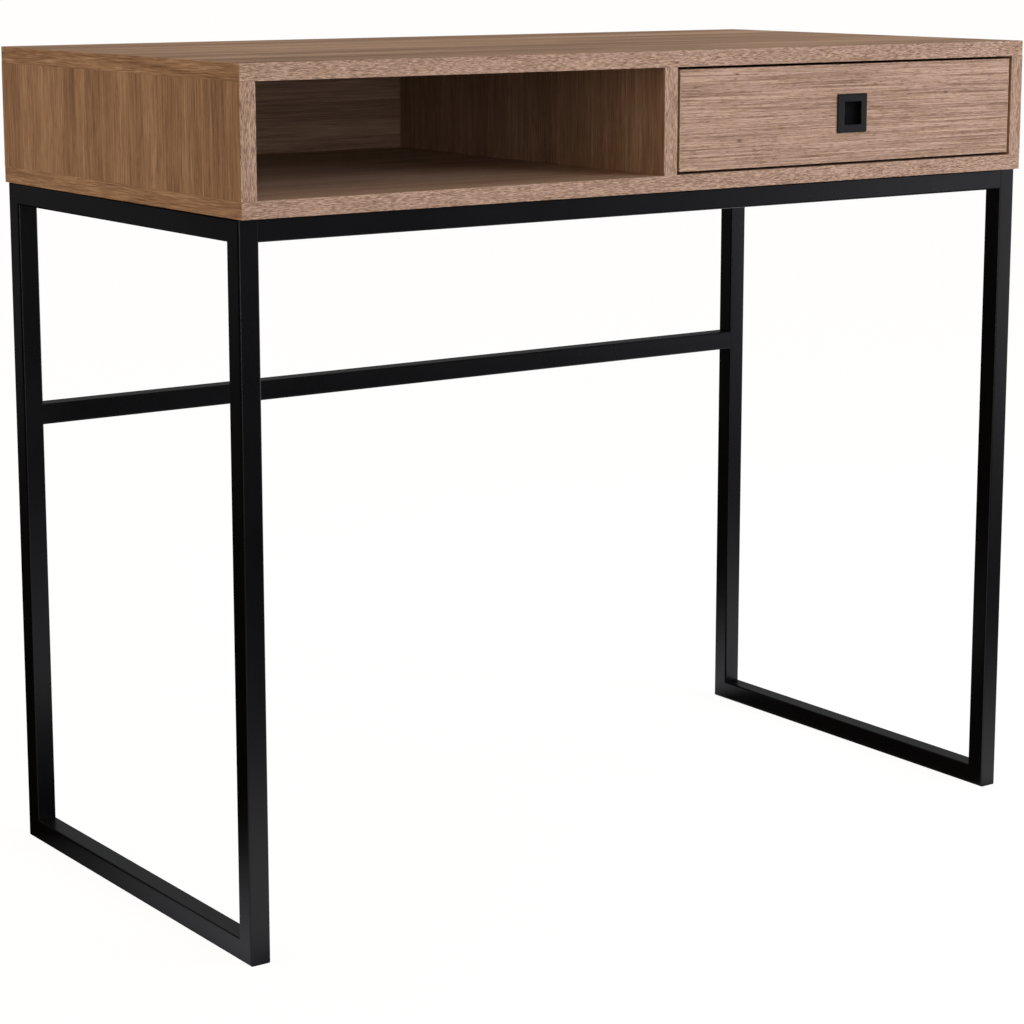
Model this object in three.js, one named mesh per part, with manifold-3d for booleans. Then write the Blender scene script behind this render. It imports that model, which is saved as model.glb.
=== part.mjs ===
// A writing desk: a shallow wooden box with an open shelf and one drawer, on a frame of square steel tube.
// Millimetres, +Z up, the front faces -Y. The origin is on the floor, at the centre of the bounding box.

import * as THREE from 'three';
import { mergeVertices } from 'three/addons/utils/BufferGeometryUtils.js';
import Module from 'manifold-3d';

const wasm = await Module();
wasm.setup();

// ---------------------------------------------------------------- driving dimensions

const deskWidth = 900;
const deskDepth = 450;
const deskHeight = 775;
const boxHeight = 128;
const board = 15;
const clearance = 0.3;

const tubeSide = 20;
const tubeWall = 1.25;
const tubeCorner = 1.5;
const frameSetBack = 6.5;
const stretcherTop = 434;
const stubSide = 17;
const stubWall = 1.5;
const stubLength = 40;

const backPanelFromFront = 440;
const panelSheet = 3;
const grooveDepth = 5;

const frontWidth = 421.5;
const frontHeight = 93;
const frontSetBack = 0.5;
const drawerBoard = 12;
const drawerSideHeight = 75;
const drawerSideLength = 380;
const drawerSideRise = 5;
const drawerBottomRise = 10;

const pullPlate = 37;
const pullProud = 2.5;
const pullBevel = 1.5;
const pullMouth = 21.5;
const pullLip = 2;
const pullCavity = 24.5;
const pullRecess = 7.5;
const pullCup = 28.5;
const pullFloor = 4;

const slideLength = 350;
const slideWidth = 12.5;
const slideSheet = 1.25;
const slideBehindFront = 2.5;
const ballRadius = 1.2;
const ballsInRow = 4;
const ballPitch = 20;
const cageLength = 90;
const cageSheet = 0.5;

// ---------------------------------------------------------------- places that follow from them

const halfWidth = deskWidth / 2;
const boxFront = -deskDepth / 2;
const boxBack = deskDepth / 2;
const boxFloor = deskHeight - boxHeight;
const insideFloor = boxFloor + board;
const insideTop = deskHeight - board;
const insideWidth = halfWidth - board;
const dividerHalf = board / 2;

const backPanelFace = boxFront + backPanelFromFront;
const frameFront = boxFront + frameSetBack;
const frameBack = boxBack - frameSetBack;
const legInside = halfWidth - tubeSide;

const bayCentre = (dividerHalf + insideWidth) / 2;
const frontFace = boxFront + frontSetBack;
const frontBack = frontFace + board;
const frontFoot = (insideFloor + insideTop - frontHeight) / 2;
const drawerFoot = frontFoot + drawerSideRise;
const drawerTop = drawerFoot + drawerSideHeight;
const drawerEnd = frontBack + drawerSideLength;
const drawerLeft = dividerHalf + slideWidth;
const drawerRight = insideWidth - slideWidth;
const pullHeight = (insideFloor + insideTop) / 2;
const slideHeight = (drawerFoot + drawerTop) / 2;

// ---------------------------------------------------------------- materials

const finish = (color, roughness, metalness) =>
  new THREE.MeshStandardMaterial({ color, roughness, metalness });

const oak = finish(0xa08068, 0.6, 0);
const blackSteel = finish(0x17171a, 0.45, 0.4);
const blackPlastic = finish(0x141416, 0.4, 0);
const zincSteel = finish(0xb4b8bc, 0.35, 0.9);
const castZinc = finish(0x9a9c9e, 0.45, 0.8);
const screwSteel = finish(0xa8a49c, 0.4, 0.85);

// ---------------------------------------------------------------- solids

/** A closed three.js geometry as a manifold solid. Slivers left at a lathe's poles are dropped. */
function solidOf(geometry) {
  geometry.deleteAttribute('normal');
  geometry.deleteAttribute('uv');
  const merged = mergeVertices(geometry);
  const corners = merged.index.array;
  const triangles = [];
  for (let i = 0; i < corners.length; i += 3) {
    const [a, b, c] = corners.subarray(i, i + 3);
    if (a !== b && b !== c && c !== a) triangles.push(a, b, c);
  }
  return new wasm.Manifold(new wasm.Mesh({
    numProp: 3,
    vertProperties: merged.attributes.position.array,
    triVerts: Uint32Array.from(triangles),
  }));
}

/** A block between two limits along each axis. */
function block([x0, x1], [y0, y1], [z0, z1]) {
  const geometry = new THREE.BoxGeometry(x1 - x0, y1 - y0, z1 - z0);
  geometry.translate((x0 + x1) / 2, (y0 + y1) / 2, (z0 + z1) / 2);
  return solidOf(geometry);
}

/** A turned piece: outline points [radius, distance along the axis], with the axis along +Z. */
function turned(outline, facets = 12) {
  const points = outline.map(([radius, along]) => new THREE.Vector2(radius, along));
  const geometry = new THREE.LatheGeometry(points, facets);
  geometry.rotateX(Math.PI / 2);
  return solidOf(geometry);
}

/** A round rod along +Z from one height to another. */
const rod = (radius, low, high, facets = 12) =>
  turned([[0, low], [radius, low], [radius, high], [0, high]], facets);

/** An outline of [x, z] points drawn out along +Y, with an optional hole of the same form. */
function drawnOut(outline, length, hole = null) {
  const shape = new THREE.Shape(outline.map(([x, z]) => new THREE.Vector2(x, z)));
  if (hole) shape.holes.push(new THREE.Path(hole.map(([x, z]) => new THREE.Vector2(x, z))));
  const geometry = new THREE.ExtrudeGeometry(shape, { depth: length, bevelEnabled: false });
  geometry.rotateX(Math.PI / 2);
  geometry.translate(0, length, 0);
  return solidOf(geometry);
}

/** Adds a solid to a group as a named mesh that is placed at its own centre. */
function addPart(group, name, solid, material) {
  const mesh = solid.getMesh();
  const geometry = new THREE.BufferGeometry();
  geometry.setAttribute('position', new THREE.BufferAttribute(mesh.vertProperties, 3));
  geometry.setIndex(new THREE.BufferAttribute(mesh.triVerts, 1));
  geometry.computeVertexNormals();
  geometry.computeBoundingBox();
  const centre = geometry.boundingBox.getCenter(new THREE.Vector3());
  geometry.translate(-centre.x, -centre.y, -centre.z);
  const part = new THREE.Mesh(geometry, material);
  part.name = name;
  part.position.copy(centre);
  group.add(part);
}

const sides = [['left', -1], ['right', 1]];
const ends = [['front', -1], ['rear', 1]];

// ---------------------------------------------------------------- fasteners

const camRadius = 7.25;
const camDepth = 12;
const camDrop = 20;
const camFromMiddle = 150;
const camFace = 3;
const camSlot = 7;
const camFacets = 16;
const camDriver = { length: 10, width: 1.5, depth: 1.5 };

const boltRadius = 2.5;
const boltHeadRadius = 3;
const boltHeadHeight = 2.5;
const boltNeckRadius = 1.75;
const boltNeckLength = 5;
const boltInTop = 11;
const boltBelowCam = 2;

const longScrewRadius = 2.5;
const longScrewHead = [4.5, 3];
const longScrewPoint = 4;
const longScrewInPanel = 25;
const longScrewFromMiddle = 150;
const accessRadius = 5;

/** Where each panel is pulled up against the top board: name, x of the cam's face, way that face looks. */
const camPanels = [
  ['left', -insideWidth, 1],
  ['middle', dividerHalf, 1],
  ['right', insideWidth, -1],
];

/** Every cam lock: its panel's entry, its name's ending and its place along Y. */
const cams = camPanels.flatMap(([panel, face, way]) =>
  ends.map(([end, sign]) => ({ name: `${panel}_${end}`, face, way, y: sign * camFromMiddle })));

const camHeight = insideTop - camDrop;
const boltAxis = ({ face, way }) => face - way * board / 2;

/** A cam disc in its panel's inner face, with a slot up its back for the bolt's head and a driver slot. */
function camDisc({ face, way, y }) {
  const { length, width, depth } = camDriver;
  const disc = rod(camRadius, 0, camDepth, camFacets)
    .subtract(block([-camSlot / 2, camSlot / 2], [-camSlot / 2, camRadius + 1], [camFace, camDepth + 1]))
    .subtract(block([-length / 2, length / 2], [-width / 2, width / 2], [-1, depth]));
  return disc.rotate([90, 0, 0]).rotate([0, 0, way * -90]).translate([face, y, camHeight]);
}

/** The bolt that a cam draws down: thread in the top board, shaft, neck and head in the cam. */
function camBolt(cam) {
  const head = -camDrop - boltBelowCam;
  const neck = head + boltHeadHeight + 0.5;
  const shaft = neck + boltNeckLength + 1;
  return turned([
    [0, head], [boltHeadRadius, head], [boltHeadRadius, head + boltHeadHeight], [boltNeckRadius, neck],
    [boltNeckRadius, shaft - 1], [boltRadius, shaft], [boltRadius, boltInTop - 1],
    [boltRadius - 1, boltInTop], [0, boltInTop],
  ]).translate([boltAxis(cam), cam.y, insideTop]);
}

/** What a cam and its bolt need cut from the panel that they sit in. */
function camRoom(cam) {
  const pocket = rod(camRadius + clearance, -1, camDepth + clearance, camFacets)
    .rotate([90, 0, 0]).rotate([0, 0, cam.way * -90]).translate([cam.face, cam.y, camHeight]);
  const bore = rod(boltHeadRadius + clearance, -camDrop, 1).translate([boltAxis(cam), cam.y, insideTop]);
  return pocket.add(bore);
}

/** Every long screw that holds the frame to the box: x and y of its axis. */
const longScrews = [
  ...sides.flatMap(([side, sx]) => ends.map(([end, sy]) => (
    { name: `${side}_${end}`, x: sx * (halfWidth - board / 2), y: sy * longScrewFromMiddle }))),
  { name: 'middle_front', x: 0, y: frameFront + tubeSide / 2 },
  { name: 'middle_rear', x: 0, y: frameBack - tubeSide / 2 },
];

/** A long screw: its head bears on the rail's top wall from inside, its point is in the panel above. */
function longScrew({ x, y }) {
  const [headRadius, headHeight] = longScrewHead;
  const length = tubeWall + board + longScrewInPanel;
  return turned([
    [0, -headHeight], [headRadius * 0.75, -headHeight], [headRadius, -headHeight * 0.5], [headRadius, 0],
    [longScrewRadius, 0], [longScrewRadius, length - longScrewPoint], [0.5, length], [0, length],
  ]).translate([x, y, boxFloor - tubeWall]);
}

/** The hole for a long screw through the rail's top wall, the bottom board and into the panel. */
const longScrewHole = ({ x, y }) =>
  rod(longScrewRadius + clearance, -tubeWall - 1, board + longScrewInPanel + clearance)
    .translate([x, y, boxFloor]);

/** The wider hole in the rail's lower wall, which lets the screw's head and driver in. */
const accessHole = ({ x, y }) =>
  rod(accessRadius, -1, tubeWall + 1).translate([x, y, boxFloor - tubeSide]);

const cutAll = (solid, cutters) => cutters.reduce((left, cutter) => left.subtract(cutter), solid);

// ---------------------------------------------------------------- the wooden box

/** The groove that holds the thin back panel, from its two limits along x and z. */
const backGroove = (x, z) =>
  block(x, [backPanelFace - clearance, backPanelFace + panelSheet + clearance], z);

/** Boards, panels and the cam locks between them. */
function makeBox() {
  const box = new THREE.Group();
  const fullWidth = [-halfWidth, halfWidth];
  const fullDepth = [boxFront, boxBack];
  const insideHeight = [insideFloor, insideTop];
  const grooveEnd = insideWidth + grooveDepth + clearance;
  const grooveLow = insideFloor - grooveDepth - clearance;
  const grooveHigh = insideTop + grooveDepth + clearance;

  const boltBores = cams.map((cam) =>
    rod(boltRadius + clearance, -1, boltInTop + clearance).translate([boltAxis(cam), cam.y, insideTop]));
  addPart(box, 'top_board', cutAll(block(fullWidth, fullDepth, [insideTop, deskHeight]), [
    backGroove([-grooveEnd, grooveEnd], [insideTop - 1, grooveHigh]), ...boltBores,
  ]), oak);

  addPart(box, 'bottom_board', cutAll(block(fullWidth, fullDepth, [boxFloor, insideFloor]), [
    backGroove([-grooveEnd, grooveEnd], [grooveLow, insideFloor + 1]), ...longScrews.map(longScrewHole),
  ]), oak);

  for (const [side, sign] of sides) {
    const faces = [sign * insideWidth, sign * halfWidth].sort((a, b) => a - b);
    const grooveX = [sign * (insideWidth - 1), sign * grooveEnd].sort((a, b) => a - b);
    addPart(box, `${side}_side_panel`, cutAll(block(faces, fullDepth, insideHeight), [
      backGroove(grooveX, [insideFloor - 1, insideTop + 1]),
      ...cams.filter(({ face }) => face === sign * insideWidth).map(camRoom),
      ...longScrews.filter(({ x }) => x * sign > 0).map(longScrewHole),
    ]), oak);
  }

  const dividerDepth = [boxFront, backPanelFace - clearance];
  addPart(box, 'divider_panel', cutAll(block([-dividerHalf, dividerHalf], dividerDepth, insideHeight), [
    ...cams.filter(({ face }) => face === dividerHalf).map(camRoom),
    ...longScrews.filter(({ x }) => x === 0).map(longScrewHole),
  ]), oak);

  addPart(box, 'back_panel', block(
    [-insideWidth - grooveDepth, insideWidth + grooveDepth],
    [backPanelFace, backPanelFace + panelSheet],
    [insideFloor - grooveDepth, insideTop + grooveDepth],
  ), oak);

  for (const cam of cams) {
    addPart(box, `cam_lock_${cam.name}`, camDisc(cam), castZinc);
    addPart(box, `cam_bolt_${cam.name}`, camBolt(cam), screwSteel);
  }
  return box;
}

// ---------------------------------------------------------------- the steel frame

/** A square section with small flats on its corners, as [x, z] points round the tube's axis. */
function tubeSection(side, corner) {
  const half = side / 2;
  const near = half - corner;
  return [
    [-near, -half], [near, -half], [half, -near], [half, near],
    [near, half], [-near, half], [-half, near], [-half, -near],
  ];
}

const squareSection = (side) =>
  [[-side / 2, -side / 2], [side / 2, -side / 2], [side / 2, side / 2], [-side / 2, side / 2]];

/** A square tube along Y, centred, with square ends. */
const plainTube = (length) =>
  drawnOut(tubeSection(tubeSide, tubeCorner), length, squareSection(tubeSide - 2 * tubeWall))
    .translate([0, -length / 2, 0]);

/** A tube along Y whose two ends are mitred, so that its lower side has the full length. */
function mitredTube(length) {
  return plainTube(length).warp((point) => {
    point[1] -= Math.sign(point[1]) * (point[2] + tubeSide / 2);
  });
}

/** Four mitred tubes form a closed loop in the YZ plane: floor rail, side rail and two legs. */
function addSideLoop(frame, side, sign) {
  const x = sign * (halfWidth - tubeSide / 2);
  const loopDepth = frameBack - frameFront;
  const screws = longScrews.filter((screw) => screw.x * sign > 0);

  addPart(frame, `floor_rail_${side}`,
    mitredTube(loopDepth).translate([x, 0, tubeSide / 2]), blackSteel);
  addPart(frame, `side_rail_${side}`, cutAll(
    mitredTube(loopDepth).rotate([180, 0, 0]).translate([x, 0, boxFloor - tubeSide / 2]),
    [...screws.map(longScrewHole), ...screws.map(accessHole)],
  ), blackSteel);
  for (const [end, way] of ends) {
    const y = way * (loopDepth - tubeSide) / 2;
    addPart(frame, `leg_${end}_${side}`,
      mitredTube(boxFloor).rotate([way * 90, 0, 0]).translate([x, y, boxFloor / 2]), blackSteel);
  }
}

const crossLength = 2 * legInside;
const crossBars = [
  { name: 'front_rail', y: frameFront + tubeSide / 2, top: boxFloor },
  { name: 'rear_rail', y: frameBack - tubeSide / 2, top: boxFloor },
  { name: 'rear_stretcher', y: frameBack - tubeSide / 2, top: stretcherTop },
];

const stubScrewRadius = 2.5;
const stubScrewHead = [4.75, 2.5];
const stubScrewSocket = { radius: 1.75, depth: 1.5, facets: 6 };
const stubScrewReach = 8;
const stubScrewX = legInside - stubLength / 2;

/** A button-head screw along -Y, its head on the stretcher's rear face, with a hexagon socket. */
function stubScrew(sign) {
  const [headRadius, headHeight] = stubScrewHead;
  const { radius, depth, facets } = stubScrewSocket;
  const socket = rod(radius, headHeight - depth, headHeight + 1, facets);
  return turned([
    [0, -stubScrewReach], [stubScrewRadius, -stubScrewReach], [stubScrewRadius, 0], [headRadius, 0],
    [headRadius, headHeight * 0.4], [headRadius * 0.6, headHeight], [0, headHeight],
  ]).subtract(socket).rotate([-90, 0, 0])
    .translate([sign * stubScrewX, frameBack, stretcherTop - tubeSide / 2]);
}

const stubScrewHole = (sign) =>
  rod(stubScrewRadius + clearance, -stubScrewReach - 1, 1).rotate([-90, 0, 0])
    .translate([sign * stubScrewX, frameBack, stretcherTop - tubeSide / 2]);

/** A cross bar between the loops and the stub at each end that it slides over. */
function addCrossBar(frame, { name, y, top }) {
  const z = top - tubeSide / 2;
  const screws = longScrews.filter((screw) => screw.x === 0 && screw.y === y && top === boxFloor);
  const holes = [...screws.map(longScrewHole), ...screws.map(accessHole)];
  const stubHoles = top === stretcherTop ? sides.map(([, sign]) => stubScrewHole(sign)) : [];
  const bar = plainTube(crossLength).rotate([0, 0, 90]).translate([0, y, z]);
  addPart(frame, name, cutAll(bar, [...holes, ...stubHoles]), blackSteel);

  for (const [side, sign] of sides) {
    const stub = drawnOut(squareSection(stubSide), stubLength, squareSection(stubSide - 2 * stubWall))
      .translate([0, -stubLength / 2, 0]).rotate([0, 0, 90])
      .translate([sign * (legInside - stubLength / 2), y, z]);
    addPart(frame, `${name}_stub_${side}`, cutAll(stub, stubHoles), blackSteel);
  }
}

function makeFrame() {
  const frame = new THREE.Group();
  for (const [side, sign] of sides) addSideLoop(frame, side, sign);
  for (const bar of crossBars) addCrossBar(frame, bar);
  for (const [side, sign] of sides) addPart(frame, `stretcher_screw_${side}`, stubScrew(sign), screwSteel);
  for (const screw of longScrews) addPart(frame, `box_screw_${screw.name}`, longScrew(screw), screwSteel);
  return frame;
}

// ---------------------------------------------------------------- the drawer

const pullScrewRadius = 2;
const pullScrewHead = [4, 2.25];
const pullScrewGrip = 2.75;
const cupEnd = frontFace - pullProud + pullRecess + pullFloor;
const pullScrewTip = cupEnd - pullScrewGrip;

/** A square block round the pull's centre, between two limits along Y. */
const pullBlock = (side, from, to) => block(
  [bayCentre - side / 2, bayCentre + side / 2], [from, to],
  [pullHeight - side / 2, pullHeight + side / 2],
);

/** A square plate with a bevelled rim: the hull of a full-size slab and a smaller front face. */
function bevelledPlate() {
  const front = frontFace - pullProud;
  const small = pullPlate / 2 - pullBevel;
  const large = pullPlate / 2;
  const corners = [[-1, -1], [1, -1], [1, 1], [-1, 1]];
  const ring = (half, y) => corners.map(([sx, sz]) => [sx * half, y, sz * half]);
  const points = [...ring(small, front), ...ring(large, front + pullBevel * 0.5), ...ring(large, frontFace)];
  const faces = [[0, 1, 2], [0, 2, 3], [8, 10, 9], [8, 11, 10]];
  for (const layer of [0, 4]) {
    for (let i = 0; i < 4; i += 1) {
      const a = layer + i;
      const b = layer + (i + 1) % 4;
      faces.push([a, a + 4, b + 4], [a, b + 4, b]);
    }
  }
  const geometry = new THREE.BufferGeometry();
  geometry.setAttribute('position', new THREE.Float32BufferAttribute(points.flat(), 3));
  geometry.setIndex(faces.flat());
  geometry.translate(bayCentre, 0, pullHeight);
  return solidOf(geometry);
}

/** The finger pull: a bevelled plate on the front and a cup let into it, undercut behind the lip. */
function makePull() {
  const front = frontFace - pullProud;
  const mouth = pullBlock(pullMouth, front - 1, front + pullLip + 1);
  const cavity = pullBlock(pullCavity, front + pullLip, front + pullRecess);
  const cup = pullBlock(pullCup, frontFace - 0.5, cupEnd);
  return bevelledPlate().add(cup).subtract(mouth).subtract(cavity).subtract(pullScrewHole());
}

const alongDepth = (solid) => solid.rotate([-90, 0, 0]).translate([bayCentre, 0, pullHeight]);

const pullScrewHole = () =>
  alongDepth(rod(pullScrewRadius + clearance, pullScrewTip - clearance, frontBack + 1));

function makePullScrew() {
  const [headRadius, headHeight] = pullScrewHead;
  return alongDepth(turned([
    [0, pullScrewTip], [pullScrewRadius, pullScrewTip], [pullScrewRadius, frontBack],
    [headRadius, frontBack], [headRadius, frontBack + headHeight * 0.5],
    [headRadius * 0.7, frontBack + headHeight], [0, frontBack + headHeight],
  ]));
}

/** The drawer's five boards, with the thin bottom held in grooves. */
function makeDrawer() {
  const drawer = new THREE.Group();
  const bottomFoot = drawerFoot + drawerBottomRise;
  const grooveZ = [bottomFoot - clearance, bottomFoot + panelSheet + clearance];
  const innerLeft = drawerLeft + drawerBoard;
  const innerRight = drawerRight - drawerBoard;
  const sideHeight = [drawerFoot, drawerTop];

  const frontGroove = block(
    [innerLeft - grooveDepth - clearance, innerRight + grooveDepth + clearance],
    [frontBack - grooveDepth - clearance, frontBack + 1], grooveZ,
  );
  addPart(drawer, 'drawer_front', cutAll(block(
    [bayCentre - frontWidth / 2, bayCentre + frontWidth / 2],
    [frontFace, frontBack], [frontFoot, frontFoot + frontHeight],
  ), [
    frontGroove, pullBlock(pullCup + 2 * clearance, frontFace - 1, cupEnd + clearance), pullScrewHole(),
  ]), oak);

  addPart(drawer, 'drawer_side_left', block([drawerLeft, innerLeft], [frontBack, drawerEnd], sideHeight)
    .subtract(block([innerLeft - grooveDepth - clearance, innerLeft + 1],
      [frontBack - 1, drawerEnd + 1], grooveZ)), oak);
  addPart(drawer, 'drawer_side_right', block([innerRight, drawerRight], [frontBack, drawerEnd], sideHeight)
    .subtract(block([innerRight - 1, innerRight + grooveDepth + clearance],
      [frontBack - 1, drawerEnd + 1], grooveZ)), oak);
  addPart(drawer, 'drawer_back', block([innerLeft, innerRight], [drawerEnd - drawerBoard, drawerEnd],
    [bottomFoot + panelSheet + clearance, drawerTop]), oak);
  addPart(drawer, 'drawer_bottom', block([innerLeft - grooveDepth, innerRight + grooveDepth],
    [frontBack - grooveDepth, drawerEnd], [bottomFoot, bottomFoot + panelSheet]), oak);

  addPart(drawer, 'drawer_pull', makePull(), blackPlastic);
  addPart(drawer, 'pull_screw', makePullScrew(), screwSteel);
  return drawer;
}

// ---------------------------------------------------------------- the drawer's slides

// Each slide is three nested channels and two ball cages. Across the slide, x runs from 0 at the
// panel to slideWidth at the drawer's side; z is measured from the slide's middle.
const outerHalf = 22.5;
const ballGap = 2 * ballRadius + 0.1;
const middleHalf = outerHalf - slideSheet - ballGap;
const innerHalf = middleHalf - slideSheet - ballGap;
const channelEnd = 11;
const middleStart = 2.25;
const innerStart = 4.5;
const outerLip = 1;
const cageGap = 0.25;
const outerCageEnd = channelEnd - 2.5;
const innerCageEnd = channelEnd - 1.5;
const outerBallX = 6.5;
const innerBallX = 7.5;
const slideScrewRadius = 2.25;
const slideScrewPlaces = [35, 175, 315];

/** A channel's outline: a web at one x and two flanges that end at another. */
function channel(webX, endX, half, sheet) {
  const way = Math.sign(endX - webX);
  const inner = webX + way * sheet;
  const outline = [
    [webX, -half], [endX, -half], [endX, sheet - half], [inner, sheet - half],
    [inner, half - sheet], [endX, half - sheet], [endX, half], [webX, half],
  ];
  return way > 0 ? outline : outline.reverse();
}

/** The lips that turn in at the outer channel's flange ends. */
const outerLips = () => sides.map(([, sign]) => block(
  [channelEnd - slideSheet, channelEnd], [0, slideLength],
  [sign * (outerHalf - slideSheet / 2), sign * (outerHalf - slideSheet - outerLip)].sort((a, b) => a - b),
));

/** Screw holes through a channel's web, which lies between two x limits. */
const webHoles = (from, to) => slideScrewPlaces.map((y) =>
  rod(slideScrewRadius, from - 1, to + 1).rotate([0, 90, 0]).translate([0, y, 0]));

/** A ball cage: a thin channel with a row of balls in each flange. */
function ballCage(webX, endX, ballX, ballZ) {
  const start = (slideLength - cageLength) / 2;
  const half = ballZ + cageSheet / 2;
  let cage = drawnOut(channel(webX, endX, half, cageSheet), cageLength).translate([0, start, 0]);
  for (let i = 0; i < ballsInRow; i += 1) {
    const y = start + cageLength / 2 + (i - (ballsInRow - 1) / 2) * ballPitch;
    for (const [, sign] of sides) {
      const ball = solidOf(new THREE.SphereGeometry(ballRadius, 8, 4));
      cage = cage.add(ball.translate([ballX, y, sign * ballZ]));
    }
  }
  return cage;
}

function makeSlide(side) {
  const slide = new THREE.Group();
  const outer = outerLips().reduce(
    (whole, lip) => whole.add(lip), drawnOut(channel(0, channelEnd, outerHalf, slideSheet), slideLength));
  const middle = drawnOut(channel(middleStart, channelEnd, middleHalf, slideSheet), slideLength);
  const inner = drawnOut(channel(slideWidth, innerStart, innerHalf, slideSheet), slideLength);
  const outerBall = middleHalf + ballGap / 2;
  const innerBall = innerHalf + ballGap / 2;

  addPart(slide, `slide_outer_${side}`, cutAll(outer, webHoles(0, slideSheet)), zincSteel);
  addPart(slide, `slide_middle_${side}`, middle, zincSteel);
  addPart(slide, `slide_inner_${side}`,
    cutAll(inner, webHoles(slideWidth - slideSheet, slideWidth)), zincSteel);
  addPart(slide, `ball_cage_outer_${side}`,
    ballCage(slideSheet + cageGap, outerCageEnd, outerBallX, outerBall), castZinc);
  addPart(slide, `ball_cage_inner_${side}`,
    ballCage(middleStart + slideSheet + cageGap, innerCageEnd, innerBallX, innerBall), castZinc);
  return slide;
}

// ---------------------------------------------------------------- the whole desk

const desk = new THREE.Group();
desk.add(makeBox(), makeFrame(), makeDrawer());

const slideFront = frontBack + slideBehindFront;
const leftSlide = makeSlide('left');
leftSlide.position.set(dividerHalf, slideFront, slideHeight);
const rightSlide = makeSlide('right');
rightSlide.position.set(insideWidth, slideFront, slideHeight);
rightSlide.rotation.y = Math.PI;
desk.add(leftSlide, rightSlide);

// The pull stands proud of the box, so the desk moves back by half of that to centre its bounding box.
desk.position.y = (pullProud - frontSetBack) / 2;

export default desk;
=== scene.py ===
"""The looks of the writing desk: a wooden box with one drawer on a frame of black square tube.

Every piece is in metres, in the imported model's own frame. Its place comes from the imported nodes,
and the lengths named here are those of details that the nodes leave out.
"""

import math

import bmesh
import bpy
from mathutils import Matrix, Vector


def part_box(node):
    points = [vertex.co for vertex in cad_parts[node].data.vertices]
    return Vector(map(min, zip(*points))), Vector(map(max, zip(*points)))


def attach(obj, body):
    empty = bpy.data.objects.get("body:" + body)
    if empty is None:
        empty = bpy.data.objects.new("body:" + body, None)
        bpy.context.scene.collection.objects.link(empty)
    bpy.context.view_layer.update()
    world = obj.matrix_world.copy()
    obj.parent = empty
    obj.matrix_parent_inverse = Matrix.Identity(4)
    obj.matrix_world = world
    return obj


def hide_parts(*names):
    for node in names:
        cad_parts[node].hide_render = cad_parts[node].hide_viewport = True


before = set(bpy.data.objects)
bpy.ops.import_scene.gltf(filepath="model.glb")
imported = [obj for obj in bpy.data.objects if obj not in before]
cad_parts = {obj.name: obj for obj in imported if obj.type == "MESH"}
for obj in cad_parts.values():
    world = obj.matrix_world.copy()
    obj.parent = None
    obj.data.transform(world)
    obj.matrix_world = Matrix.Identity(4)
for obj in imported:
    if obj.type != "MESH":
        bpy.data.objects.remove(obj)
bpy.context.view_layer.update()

MM = 0.001
SIDES = ("left", "right")
ENDS = ("front", "rear")
X, Y, Z = 0, 1, 2


def add_object(name, data):
    """An object in the scene."""
    made = bpy.data.objects.new(name, data)
    bpy.context.scene.collection.objects.link(made)
    return made


# ---- camera, light and floor

CAMERA_PLACE = Vector((-1.5615, -2.1674, 0.8713))
CAMERA_YAW = math.radians(35.45)
CAMERA_PITCH = math.radians(10.15)
CAMERA_LENS = 95.7
CAMERA_SHIFT = -0.08
FLOOR_SIZE = 160.0


def add_camera():
    """The camera: long lens, from the desk's left front corner, a little above its top."""
    level = math.cos(CAMERA_PITCH)
    forward = Vector((
        math.sin(CAMERA_YAW) * level,
        math.cos(CAMERA_YAW) * level,
        -math.sin(CAMERA_PITCH),
    ))
    data = bpy.data.cameras.new("camera")
    data.sensor_width = 36
    data.lens = CAMERA_LENS
    data.shift_y = CAMERA_SHIFT
    data.clip_end = 2 * FLOOR_SIZE
    camera = add_object("camera", data)
    camera.location = CAMERA_PLACE
    camera.rotation_euler = forward.to_track_quat("-Z", "Y").to_euler()
    bpy.context.scene.camera = camera


# Each light's name, place and target, its size in metres, its power in watts, its colour, and
# whether reflections show it.
LIGHTS = (
    ("key", (1.95, -2.55, 1.45), (0.0, -0.1, 0.55), 2.0, 67, (1.0, 1.02, 1.28), False),
    ("front_fill", (-0.9, -5.0, 0.8), (0, 0, 0.7), 2.6, 50, (1.0, 0.98, 1.08), True),
    ("top_light", (1.3, 0.5, 1.6), (0.35, 0.0, 0.775), 0.8, 5.5, (1.0, 0.95, 1.0), False),
    ("left_light", (-4.2, 0.6, 1.0), (-0.45, 0.0, 0.7), 2.5, 14, (1.0, 0.70, 0.46), False),
)


def add_lights():
    """The square soft lights of the studio."""
    for name, place, target, size, power, colour, in_gloss in LIGHTS:
        data = bpy.data.lights.new(name, "AREA")
        data.shape = "SQUARE"
        data.size = size
        data.energy = power
        data.color = colour
        light = add_object(name, data)
        light.location = place
        way = Vector(target) - Vector(place)
        light.rotation_euler = way.to_track_quat("-Z", "Y").to_euler()
        light.visible_glossy = in_gloss


# ---- node trees

def add_node(tree, kind, inputs=None, **settings):
    """A shader node with its settings made and its inputs set or linked."""
    made = tree.nodes.new(f"ShaderNode{kind}")
    for key, value in settings.items():
        setattr(made, key, value)
    for key, value in (inputs or {}).items():
        if isinstance(value, bpy.types.NodeSocket):
            tree.links.new(value, made.inputs[key])
        else:
            made.inputs[key].default_value = value
    return made


def calc(tree, operation, first, second=0.0):
    """One sum of two numbers or sockets."""
    return add_node(tree, "Math", {0: first, 1: second}, operation=operation).outputs[0]


def product(tree, *factors):
    """Several numbers or sockets multiplied together."""
    whole = factors[0]
    for factor in factors[1:]:
        whole = calc(tree, "MULTIPLY", whole, factor)
    return whole


def vector_calc(tree, operation, first, second):
    """One sum of two vectors or sockets."""
    made = add_node(tree, "VectorMath", {0: first, 1: second}, operation=operation)
    return made.outputs[0]


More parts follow.
